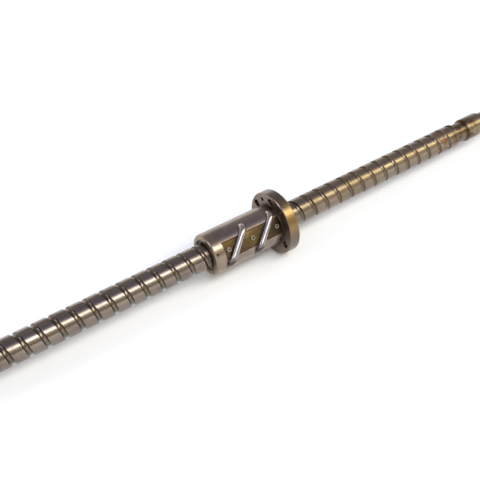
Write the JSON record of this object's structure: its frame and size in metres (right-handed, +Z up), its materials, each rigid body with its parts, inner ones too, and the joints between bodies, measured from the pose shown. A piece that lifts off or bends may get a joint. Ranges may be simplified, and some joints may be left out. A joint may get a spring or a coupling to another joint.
{
  "type": "ball screw",
  "caption": "Long ball screw with a flanged nut whose balls return through slanted outside tubes; turning the screw moves it along its axis through the nut.",
  "frame": {"origin": "on the screw's axis in the plane of the flange's seating face, the face on the nut body's side", "axes": "+X along the screw, from the nut's body end towards its flange end; +Z up as pictured; +Y completes the right-handed frame"},
  "size_m": [0.803, 0.08, 0.08],
  "materials": {
    "screw_steel": "ground and tarnished, rust at the right end",
    "nut_steel": "turned, darkened by oil",
    "tube_steel": "bright drawn tube",
    "clamp_steel": "olive-brown oiled plate",
    "fastener_steel": "bright socket screws",
    "ball_steel": "polished",
    "wiper_plastic": "dark oily plastic"
  },
  "bodies": {
    "nut": {"nut_body": "nut_steel", "return_tube_1": "tube_steel", "return_tube_2": "tube_steel", "tube_clamp_left": "clamp_steel", "tube_clamp_middle": "clamp_steel", "tube_clamp_right": "clamp_steel", "clamp_screws": "fastener_steel", "wiper_grub_screw": "fastener_steel", "ball_train_1": "ball_steel", "ball_train_2": "ball_steel"},
    "wipers": {"wiper_left": "wiper_plastic", "wiper_right": "wiper_plastic"},
    "screw": {"screw_shaft": "screw_steel"}
  },
  "joints": [
    {"name": "screw_turn", "type": "hinge", "parent": "nut", "child": "wipers", "pos_m": [0, 0, 0], "axis": [1, 0, 0], "range_deg": [-5040, 4320]},
    {"name": "screw_travel", "type": "slide", "parent": "wipers", "child": "screw", "axis": [1, 0, 0], "range_m": [-0.2801, 0.2401]}
  ],
  "couplings": [
    {"joint": "screw_travel", "follows": "screw_turn", "m_per_rad": 0.0031831}
  ]
}
